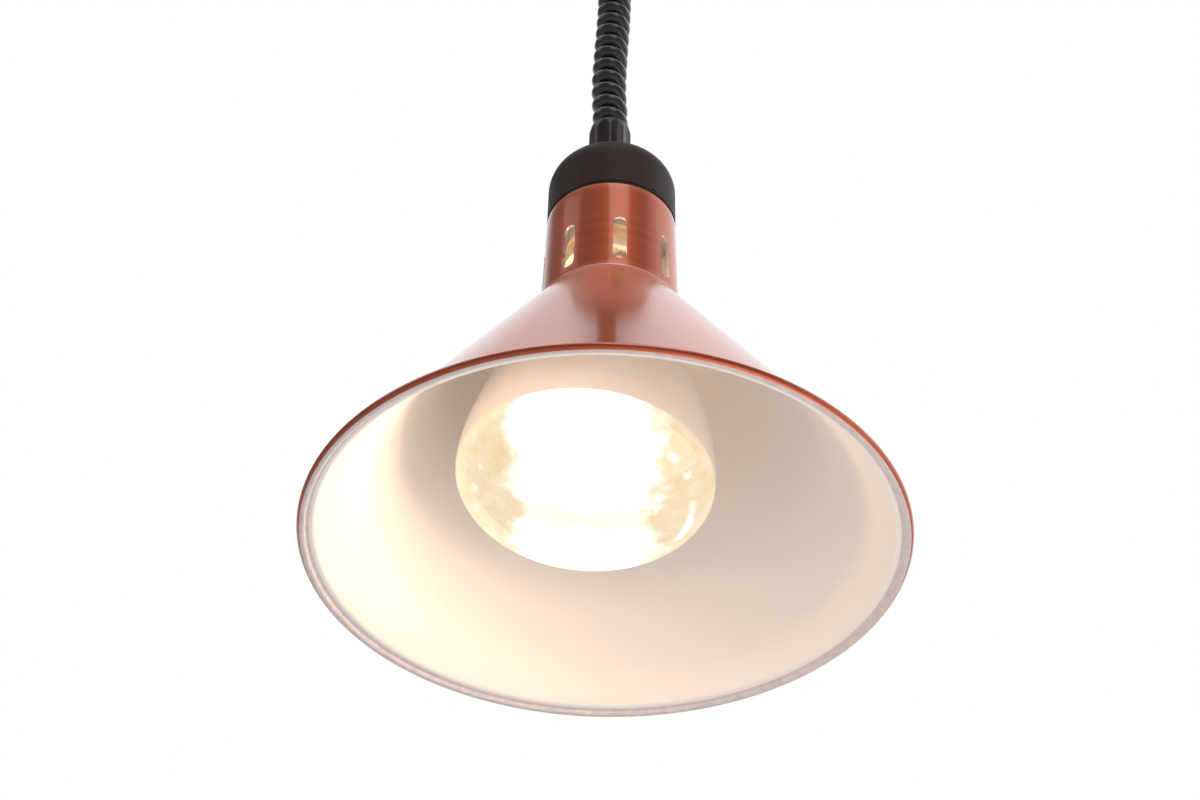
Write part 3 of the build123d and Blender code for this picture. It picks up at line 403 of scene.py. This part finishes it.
def porcelain():
    """Cream glazed porcelain with a paler top, grey bands and random dark blots; low down it is painted darker as
    shade, with a near-black painted shadow at the step.
    """
    material, tree, shader, place = new_surface("porcelain", coat=0.5, coat_roughness=0.1)
    _, height, _ = lamp_coordinates(tree, place)
    blot = noise(tree, place, 120, 4.0, 0.6)
    level = calc(tree, "ADD", height, calc(tree, "MULTIPLY", calc(tree, "SUBTRACT", blot, 0.5), 0.006))
    ramp = node(tree, "ValToRGB", {"Fac": ranged(tree, level, 0.160, 0.212)})
    # Below the step the stops paint shade: brown, then a near-black painted shadow at the step itself (0.36).
    bands = [
        (0.0, (0.30, 0.22, 0.14)), (0.33, (0.30, 0.23, 0.15)), (0.36, (0.06, 0.04, 0.03)),
        (0.40, (0.42, 0.36, 0.28)), (0.52, (0.50, 0.43, 0.33)), (0.57, (0.76, 0.56, 0.34)),
        (0.70, (0.78, 0.60, 0.38)), (0.75, (0.62, 0.60, 0.56)), (1.0, (0.66, 0.64, 0.61))]
    stops = ramp.color_ramp.elements
    while len(stops) < len(bands):
        stops.new(0.5)
    for stop, (position, tone) in zip(stops, bands):
        stop.position = position
        stop.color = (*tone, 1)
    colour = mixed(tree, ranged(tree, blot, 0.45, 0.75, 0.0, 0.35), ramp.outputs["Color"], (0.20, 0.16, 0.11))
    dress(tree, shader, colour, ranged(tree, blot, 0.3, 0.7, 0.28, 0.45), blot, 0.1, 0.0002)
    return material


def steel_rope():
    """Stranded wire rope: slanting strands along its length, painted darker between them as shade and lighter on
    their crowns as highlight.
    """
    material, tree, shader, place = new_surface("steel_rope", metallic=1.0)
    axes = node(tree, "SeparateXYZ", {"Vector": place})
    lay = calc(tree, "ADD", calc(tree, "MULTIPLY", axes.outputs["Z"], 2600), calc(
        tree, "MULTIPLY", calc(tree, "ARCTAN2", axes.outputs["Y"], axes.outputs["X"]), 6.0))
    strands = calc(tree, "SINE", lay)
    shade = ranged(tree, strands, -1, 1)
    colour = mixed(tree, shade, (0.25, 0.25, 0.26), (0.66, 0.66, 0.67))
    dress(tree, shader, colour, ranged(tree, shade, 0, 1, 0.45, 0.25), strands, 0.4, 0.0002)
    return material


def cord_rubber():
    """Semi-gloss brown-black jacket with a fine extruded ripple and a trace of dust."""
    material, tree, shader, place = new_surface("cord_rubber", coat=0.8, coat_roughness=0.12, specular=0.3)
    ripple = noise(tree, place, 420, 3.0)
    dust = noise(tree, place, 90, 4.0, 0.6)
    colour = mixed(tree, ranged(tree, dust, 0.5, 0.8, 0.0, 0.5), (0.020, 0.012, 0.009), (0.042, 0.028, 0.021))
    dress(tree, shader, colour, ranged(tree, dust, 0.3, 0.7, 0.30, 0.42), ripple, 0.12, 0.0001)
    return material


def bulb_side():
    """The reflector's back seen through its glass: even, pale beige, a little cloudy, with a faint painted glow.
    """
    material, tree, shader, place = new_surface("bulb_side", coat=0.35, coat_roughness=0.18)
    cloud = noise(tree, place, 30, 4.0)
    colour = mixed(tree, ranged(tree, cloud, 0.3, 0.7), (0.72, 0.65, 0.60), (0.80, 0.73, 0.67))
    # The faint warm emission paints light onto the coated side, which gives out none of its own.
    shader.inputs["Emission Color"].default_value = (1.0, 0.88, 0.78, 1)
    shader.inputs["Emission Strength"].default_value = 0.12
    dress(tree, shader, colour, ranged(tree, cloud, 0.3, 0.7, 0.4, 0.5), cloud, 0.05, 0.0003)
    return material


def bulb_face():
    """The lit face: white hot across the middle, amber and mottled at both sides."""
    material, tree, shader, place = new_surface("bulb_face", coat=1.0, coat_roughness=0.02)
    centre = PIVOT + LEAN * BULB_RING
    local = node(tree, "Mapping", {"Vector": place, "Scale": [1 / BULB_R] * 3})
    local.inputs["Location"].default_value = [-c / BULB_R for c in centre]
    axes = node(tree, "SeparateXYZ", {"Vector": local.outputs[0]})
    across, along = axes.outputs["X"], axes.outputs["Y"]
    cloud = noise(tree, local.outputs[0], 2.6, 5.0, 0.6)
    wisp = noise(tree, local.outputs[0], 7.0, 4.0, 0.6)
    wander = calc(tree, "MULTIPLY", calc(tree, "SUBTRACT", cloud, 0.5), 0.9)
    side = calc(tree, "ABSOLUTE", calc(tree, "ADD", calc(tree, "ADD", across, 0.02), wander))
    core = ranged(tree, side, 0.38, 0.66, 1.0, 0.0, smooth=True)
    gap_width = calc(tree, "ABSOLUTE", calc(tree, "ADD", along, calc(tree, "MULTIPLY", wander, 0.3)))
    gap = ranged(tree, gap_width, 0.06, 0.20, 1.0, 0.0, smooth=True)
    hot = calc(tree, "SUBTRACT", core, calc(tree, "MULTIPLY", gap, 0.55), clamp=True)
    square = calc(tree, "ADD", calc(tree, "MULTIPLY", across, across), calc(tree, "MULTIPLY", along, along))
    ring = calc(tree, "ABSOLUTE", calc(tree, "SUBTRACT", calc(tree, "SQRT", square), 0.83))
    crescent = calc(tree, "MULTIPLY", ranged(tree, ring, 0.0, 0.05, 1.0, 0.0, smooth=True), ranged(
        tree, cloud, 0.5, 0.62))
    lit = calc(tree, "MAXIMUM", hot, crescent)
    amber = mixed(tree, ranged(tree, wisp, 0.35, 0.7), (1.0, 0.83, 0.56), (0.90, 0.67, 0.38))
    glow = mixed(tree, lit, amber, (1.0, 0.97, 0.90))
    tree.links.new(glow, shader.inputs["Emission Color"])
    tree.links.new(ranged(tree, lit, 0, 1, 0.92, 1.6), shader.inputs["Emission Strength"])
    colour = mixed(tree, cloud, (0.05, 0.045, 0.04), (0.08, 0.07, 0.06))
    dress(tree, shader, colour, ranged(tree, wisp, 0.3, 0.7, 0.03, 0.08))
    return material


def hot_wire():
    """Tungsten glowing yellow-white."""
    material = mottled("hot_wire", (0.30, 0.29, 0.28), (0.4, 0.39, 0.38), 300, (0.3, 0.4), 0.2, metallic=1.0)
    shader = material.node_tree.nodes["Principled BSDF"]
    shader.inputs["Emission Color"].default_value = (1, 0.82, 0.55, 1)
    shader.inputs["Emission Strength"].default_value = 3.0
    return material


def clear_glass():
    """Clear glass for the small stem."""
    material = mottled("clear_glass", (0.90, 0.92, 0.91), (0.95, 0.96, 0.95), 60, (0.02, 0.06), 0.02)
    material.node_tree.nodes["Principled BSDF"].inputs["Transmission Weight"].default_value = 0.9
    return material


def make_materials():
    """Every material by its record slot, and the ones that only the pieces built here use."""
    return {
        "copper_lacquer": copper_lacquer(),
        "satin_enamel": satin_enamel(),
        "shaded_rim_enamel": shaded_rim_enamel(),
        "bare_edge": mottled(
            "bare_edge", (0.80, 0.72, 0.68), (0.95, 0.90, 0.86), 400, (0.2, 0.3), 0.1, metallic=1.0),
        "cap_plastic": mottled(
            "cap_plastic", (0.038, 0.019, 0.014), (0.046, 0.024, 0.018), 40, (0.50, 0.60), 0.22,
            fine=2200, depth=0.0001, specular=0.22),
        "gland_plastic": mottled(
            "gland_plastic", (0.026, 0.012, 0.009), (0.036, 0.018, 0.013), 90, (0.16, 0.26), 0.06,
            specular=0.3),
        "canopy_plastic": mottled(
            "canopy_plastic", (0.038, 0.030, 0.028), (0.046, 0.037, 0.034), 30, (0.48, 0.58), 0.2,
            fine=2000, depth=0.0001),
        "cord_jacket": cord_rubber(),
        "lead_insulation": mottled(
            "lead_insulation", (0.42, 0.40, 0.37), (0.60, 0.57, 0.52), 700, (0.6, 0.75), 0.5,
            stretch=(1, 1, 0.25)),
        "zinc_steel": mottled(
            "zinc_steel", (0.50, 0.50, 0.49), (0.68, 0.68, 0.66), 130, (0.30, 0.46), 0.12, metallic=1.0),
        "bright_steel": mottled(
            "bright_steel", (0.60, 0.60, 0.60), (0.74, 0.74, 0.74), 60, (0.14, 0.26), 0.1,
            stretch=(8, 1, 1), metallic=1.0),
        "spring_steel": mottled(
            "spring_steel", (0.10, 0.12, 0.20), (0.30, 0.28, 0.30), 50, (0.25, 0.38), 0.1, metallic=1.0),
        "steel_rope": steel_rope(),
        "nylon": mottled("nylon", (0.09, 0.09, 0.09), (0.14, 0.14, 0.14), 50, (0.45, 0.58), 0.2),
        "white_nylon": mottled("white_nylon", (0.70, 0.69, 0.65), (0.80, 0.79, 0.75), 40, (0.4, 0.5), 0.12),
        "brass": mottled(
            "brass", (0.62, 0.42, 0.16), (0.80, 0.58, 0.27), 110, (0.22, 0.36), 0.1, metallic=1.0),
        "nickel_brass": mottled(
            "nickel_brass", (0.56, 0.53, 0.44), (0.70, 0.67, 0.58), 110, (0.22, 0.34), 0.1, metallic=1.0),
        "porcelain": porcelain(),
        "reflector_coat": mottled(
            "reflector_coat", (0.80, 0.76, 0.68), (0.90, 0.86, 0.78), 40, (0.08, 0.18), 0.03, metallic=1.0),
        "bulb_side": bulb_side(),
        "bulb_glass": bulb_face(),
        "clear_glass": clear_glass(),
        "black_glass": mottled(
            "black_glass", (0.012, 0.012, 0.016), (0.03, 0.03, 0.035), 90, (0.06, 0.14), 0.05),
        "solder": mottled(
            "solder", (0.46, 0.46, 0.47), (0.62, 0.62, 0.63), 240, (0.3, 0.5), 0.3, metallic=1.0),
        "tungsten": hot_wire(),
    }


# ================================================================ mesh helpers
def mesh_object(name, points, faces, materials, indices=None):
    """A smooth-shaded object from points and faces, sharp at its folds."""
    mesh = bpy.data.meshes.new(name)
    mesh.from_pydata([tuple(p) for p in points], [], faces)
    for material in materials:
        mesh.materials.append(material)
    if indices is not None:
        mesh.polygons.foreach_set("material_index", indices)
    made = bpy.data.objects.new(name, mesh)
    bpy.context.scene.collection.objects.link(made)
    tidy_mesh(made)
    return made


def tidy_mesh(made):
    """Outward normals and smooth faces, with sharp edges at folds of more than 32 degrees."""
    fold = math.radians(32)
    work = bmesh.new()
    work.from_mesh(made.data)
    bmesh.ops.remove_doubles(work, verts=work.verts, dist=1e-7)
    bmesh.ops.recalc_face_normals(work, faces=work.faces)
    for face in work.faces:
        face.smooth = True
    for edge in work.edges:
        edge.smooth = len(edge.link_faces) == 2 and edge.calc_face_angle(0) < fold
    work.to_mesh(made.data)
    work.free()


def arc(centre, radius, start, end, count):
    """Points on an arc of a profile, from a start to an end angle in degrees."""
    return [
        (centre[0] + radius * math.cos(math.radians(a)), centre[1] + radius * math.sin(math.radians(a)))
        for a in np.linspace(start, end, count)]


def lathe(name, profile, origin, axis, materials, bands=None, segments=256):
    """A closed profile of (radius, distance) points turned about an axis, with a material for each run."""
    side = axis.cross(Vector((0, 1, 0))).normalized()
    front = axis.cross(side)
    count = len(profile)
    points, faces, indices = [], [], []
    for step in range(segments):
        angle = 2 * math.pi * step / segments
        outward = side * math.cos(angle) + front * math.sin(angle)
        points += [origin + axis * along + outward * radius for radius, along in profile]
    for step in range(segments):
        here, there = step * count, (step + 1) % segments * count
        for run in range(count):
            after = (run + 1) % count
            faces.append((here + run, there + run, there + after, here + after))
            indices.append(bands[run] if bands else 0)
    return mesh_object(name, points, faces, materials, indices)


def tube(name, centres, radius, sides, materials):
    """A round tube along close-set centres, closed at both ends."""
    points, faces = [], []
    line = [Vector(c) for c in centres]
    last_side = None
    for index, centre in enumerate(line):
        ahead = (line[min(index + 1, len(line) - 1)] - line[max(index - 1, 0)]).normalized()
        start = Vector((1, 0, 0)) if last_side is None else last_side
        across = (start - ahead * start.dot(ahead)).normalized()
        last_side = across
        other = ahead.cross(across)
        for step in range(sides):
            angle = 2 * math.pi * step / sides
            points.append(centre + (across * math.cos(angle) + other * math.sin(angle)) * radius)
    for ring in range(len(line) - 1):
        for step in range(sides):
            after = (step + 1) % sides
            faces.append((ring * sides + step, ring * sides + after,
                          (ring + 1) * sides + after, (ring + 1) * sides + step))
    faces.append(tuple(reversed(range(sides))))
    faces.append(tuple((len(line) - 1) * sides + step for step in range(sides)))
    return mesh_object(name, points, faces, materials)


# ================================================================ cords
def route_line(points):
    """The smooth line of a cord's route, as close-set points."""
    curve = bpy.data.curves.new("route", "CURVE")
    curve.dimensions = "3D"
    curve.resolution_u = 24
    spline = curve.splines.new("NURBS")
    spline.points.add(len(points) - 1)
    for point, place in zip(spline.points, points):
        point.co = (*place, 1)
    spline.order_u = 3
    spline.use_endpoint_u = True
    holder = bpy.data.objects.new("route", curve)
    bpy.context.scene.collection.objects.link(holder)
    bpy.context.view_layer.update()
    mesh = bpy.data.meshes.new_from_object(holder)
    line = np.array([v.co for v in mesh.vertices])
    bpy.data.objects.remove(holder)
    bpy.data.curves.remove(curve)
    bpy.data.meshes.remove(mesh)
    return line


def even_points(line, count):
    """A line read again at even steps of its length."""
    steps = np.linalg.norm(np.diff(line, axis=0), axis=1)
    along = np.concatenate([[0], np.cumsum(steps)])
    wanted = np.linspace(0, along[-1], count)
    return np.stack([np.interp(wanted, along, line[:, k]) for k in range(3)], axis=1)


def stretch_evenly(piece):
    """Bake a tube's placement into its own mesh."""
    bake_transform(piece)


def make_curly_cord(materials):
    """The flex: straight in the lamp's gland, then coiled round the cable, and straight in the canopy's."""
    low, high = CORD_ROUTE[0][2], CORD_ROUTE[-1][2]
    per_turn, sides = 36, 18
    fade_turns = 0.5  # the coils narrow towards the glands over this many turns
    straight_gap = 2.5 * MM  # from the last coil to the straight end in the canopy's gland
    count = round(TURNS * per_turn) + 1
    spine = even_points(route_line(CORD_ROUTE), count)
    share = np.linspace(0, 1, count)
    pitch = LOW_PITCH + (HIGH_PITCH - LOW_PITCH) * share
    turned = np.concatenate([[0], np.cumsum(2 / (pitch[1:] + pitch[:-1]))])
    phase = 2 * math.pi * (GLAND_TURN + TURNS * turned / turned[-1])
    fade = np.clip(np.minimum(share, 1 - share) * TURNS / fade_turns, 0, 1)
    radius = TAIL_X + (COIL_MEAN_R - TAIL_X) * fade * fade * (3 - 2 * fade)
    helix = spine + np.stack([radius * np.cos(phase), -radius * np.sin(phase), np.zeros(count)], axis=1)
    tail_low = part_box("lamp_flex_tail")[0].z
    tail_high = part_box("canopy_flex_tail")[1].z
    bottom = []
    for z in np.linspace(tail_low, low - 0.3 * MM, 120):
        angle = 2 * math.pi * GLAND_TURN * ((z - tail_low) / (low - tail_low)) ** GLAND_EASE
        bottom.append((TAIL_X * math.cos(angle), -TAIL_X * math.sin(angle), z))
    top = [(TAIL_X, 0, z) for z in np.linspace(high + straight_gap, tail_high, 8)]
    centres = bottom + [tuple(p) for p in helix] + top
    cord = tube("curly_cord_flex", centres, FLEX_R, sides, [materials["cord_jacket"]])
    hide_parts("curly_cord", "lamp_flex_tail", "canopy_flex_tail")
    stretch_evenly(cord)


def make_cable(materials):
    """The steel cable from the reel down through the coils to its ferrule."""
    low, high = (corner.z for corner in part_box("suspension_cable"))
    count, sides = 160, 10
    centres = [(0, 0, z) for z in np.linspace(low, high, count)]
    cable = tube("steel_cable", centres, CABLE_R, sides, [materials["steel_rope"]])
    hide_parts("suspension_cable")
    stretch_evenly(cable)


# ================================================================ shade
def slot_cutter(angle, material):
    """A radial bar with the vent's round-ended outline, whose cut leaves bare edges."""
    outward = Vector((math.sin(angle), -math.cos(angle), 0))
    across = Vector((math.cos(angle), math.sin(angle), 0))
    half_run = (SLOT_HEIGHT - SLOT_WIDTH) / 2
    middle = RIM_MIDDLE + Vector((0, 0, SLOT_MID_H))
    points = []
    for reach in (SLOT_CUT_FROM, SLOT_CUT_TO):
        radius = SLOT_WIDTH / 2 + (reach - NECK_TOP_R) * SLOT_FLARE
        outline = [(x, z + half_run) for x, z in arc((0, 0), radius, 0, 180, 17)]
        outline += [(x, z - half_run) for x, z in arc((0, 0), radius, 180, 360, 17)]
        points += [middle + outward * reach + across * x + Vector((0, 0, z)) for x, z in outline]
    count = len(outline)
    faces = [(k, (k + 1) % count, count + (k + 1) % count, count + k) for k in range(count)]
    faces += [tuple(reversed(range(count))), tuple(range(count, 2 * count))]
    slots = [material] * (BARE_BAND + 1)
    return mesh_object("slot_cutter", points, faces, slots, [BARE_BAND] * len(faces))


def shade_outside(lip, slope):
    """The copper side: up from the rolled edge, over the crease's bead and up the neck."""
    bead_join = 150  # degrees round the rolled edge to where it meets the cone
    cone_top, neck_foot = NECK_LOW_H - 0.5 * MM, NECK_LOW_H + 1 * MM
    taper = (NECK_LOW_R - NECK_TOP_R) / (NECK_TOP_H - NECK_LOW_H)
    edge_r, edge_h = NECK_TOP_R - NECK_EDGE_R, NECK_TOP_H - NECK_EDGE_R
    line = arc(lip, BEAD_R, COPPER_END, bead_join, 22)
    foot_h = line[-1][1] + 0.4 * MM
    line += [(CONE_R - slope * h, h) for h in np.linspace(foot_h, cone_top, 40)]
    line += arc((NECK_LOW_R - CREASE_INSET, NECK_LOW_H), CREASE_R, -40, 65, 7)
    line += [(NECK_LOW_R - taper * (h - NECK_LOW_H), h) for h in np.linspace(neck_foot, edge_h, 16)]
    return line + arc((edge_r, edge_h), NECK_EDGE_R, 20, 90, 4)


def shade_inside(slope):
    """The white side: down from the neck's flange to the rim, where the wall curves out into the lip."""
    skin = SHEET * math.sqrt(1 + slope**2)
    cone_top = NECK_LOW_H - 2 * MM
    line = [(NECK_FLANGE_R, NECK_TOP_H), (NECK_FLANGE_R, NECK_TOP_H - SHEET)]
    line += [(NECK_TOP_R - SHEET, NECK_TOP_H - SHEET), (NECK_LOW_R - SHEET, NECK_LOW_H - 0.4 * MM)]
    line += [(CONE_R - skin - slope * h, h) for h in np.linspace(cone_top, FLARE_H, 40)]
    wall_turn = math.degrees(math.atan(slope))
    flare = math.tan(math.radians(45 - wall_turn / 2))
    flare_r = (FLARE_H - LIP_H) / math.cos(math.radians(wall_turn)) / flare
    corner_r = CONE_R - skin - slope * LIP_H
    return line + arc((corner_r + flare_r * flare, LIP_H + flare_r), flare_r, 180 + wall_turn, 270, 7)[1:]


def make_shade(materials):
    """The spinning: copper outside, white inside, a rolled rim and eight vents with bare edges."""
    slope = (CONE_R - NECK_LOW_R) / NECK_LOW_H
    lip = (RIM_R - BEAD_R, 0)
    outside = shade_outside(lip, slope)
    inside = shade_inside(slope)
    under = arc(lip, BEAD_R, -165, COPPER_END - 5, 10)
    bands = [COPPER_BAND] * (len(outside) - 1) + [ENAMEL_BAND] * len(inside) + [RIM_BAND] * (len(under) + 1)
    skins = [materials[name] for name in ("copper_lacquer", "satin_enamel", "shaded_rim_enamel", "bare_edge")]
    profile = outside + inside + under
    shade = lathe("shade_skin", profile, RIM_MIDDLE, Vector((0, 0, 1)), skins, bands)
    for index in range(SLOT_COUNT):
        cutter = slot_cutter(SLOT_TURN + index * 2 * math.pi / SLOT_COUNT, materials["bare_edge"])
        cut = shade.modifiers.new("vent", "BOOLEAN")
        cut.operation = "DIFFERENCE"
        cut.solver = "EXACT"
        cut.object = cutter
        bpy.context.view_layer.objects.active = shade
        bpy.ops.object.modifier_apply(modifier="vent")
        bpy.data.objects.remove(cutter)
    tidy_mesh(shade)
    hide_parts("shade")
    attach(shade, "lamp_head")


# ================================================================ bulb
def smooth_side(points, count):
    """Radii along a smooth line through (radius, depth) points, its two ends running along the axis."""
    radii, depths = (np.array(column) for column in zip(*points))
    gaps, size = np.diff(depths), len(points)
    rows, slopes = np.eye(size), np.zeros(size)
    for k in range(1, size - 1):
        rows[k, k - 1:k + 2] = gaps[k], 2 * (gaps[k - 1] + gaps[k]), gaps[k - 1]
        slopes[k] = 3 * (gaps[k - 1] * (radii[k + 1] - radii[k]) / gaps[k]
                         + gaps[k] * (radii[k] - radii[k - 1]) / gaps[k - 1])
    slopes = np.linalg.solve(rows, slopes)
    line = []
    for depth in np.linspace(depths[0], depths[-1], count):
        k = min(int(np.searchsorted(depths, depth, side="right")) - 1, size - 2)
        t, gap = (depth - depths[k]) / gaps[k], gaps[k]
        line.append((
            radii[k] * (1 + 2 * t) * (1 - t) ** 2 + radii[k + 1] * t * t * (3 - 2 * t)
            + gap * (slopes[k] * t * (1 - t) ** 2 + slopes[k + 1] * t * t * (t - 1)), depth))
    return line


def make_bulb(materials):
    """The glass in two stretches: the coated side, and the clear face that lets the light out."""
    edge_x = BULB_R - EDGE_R
    dome_u = BULB_RING - math.sqrt((FACE_R - EDGE_R) ** 2 - edge_x**2)
    meet = math.degrees(math.atan2(BULB_RING - dome_u, edge_x))
    side = COLLAR + smooth_side(SIDE, 44) + arc((edge_x, BULB_RING), EDGE_R, 0, COAT_END, 7)[1:]
    inner_side = [(radius - GLASS_T, depth) for radius, depth in reversed(side)]
    glass = lathe("bulb_coated_glass", side + inner_side, PIVOT, LEAN, [materials["bulb_side"]], segments=160)
    face = arc((edge_x, BULB_RING), EDGE_R, COAT_END, meet, 5)
    face += arc((0, dome_u), FACE_R, meet, FACE_END, 36)[1:]
    inner_face = [
        (max(radius - FACE_INSET, FACE_LEAST_R), depth - GLASS_T) for radius, depth in reversed(face)]
    lit = lathe("bulb_lit_face", face + inner_face, PIVOT, LEAN, [materials["bulb_glass"]], segments=160)
    lit.visible_shadow = False
    for piece in (glass, lit):
        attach(piece, "bulb")
    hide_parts("bulb_glass")


# ================================================================ everything together
def dress_cad_nodes(materials):
    """Give each CAD node the material of its record slot."""
    slots = {row["node"]: row["material_slot"] for row in frame["record"]["subparts"]}
    for name, piece in frame["nodes"].items():
        piece.data.materials.clear()
        piece.data.materials.append(materials[slots[name]])


bpy.context.scene.view_settings.view_transform = "Standard"
make_camera()
looks = make_materials()
make_curly_cord(looks)
make_cable(looks)
make_light()
make_floor()
dress_cad_nodes(looks)
make_shade(looks)
make_bulb(looks)
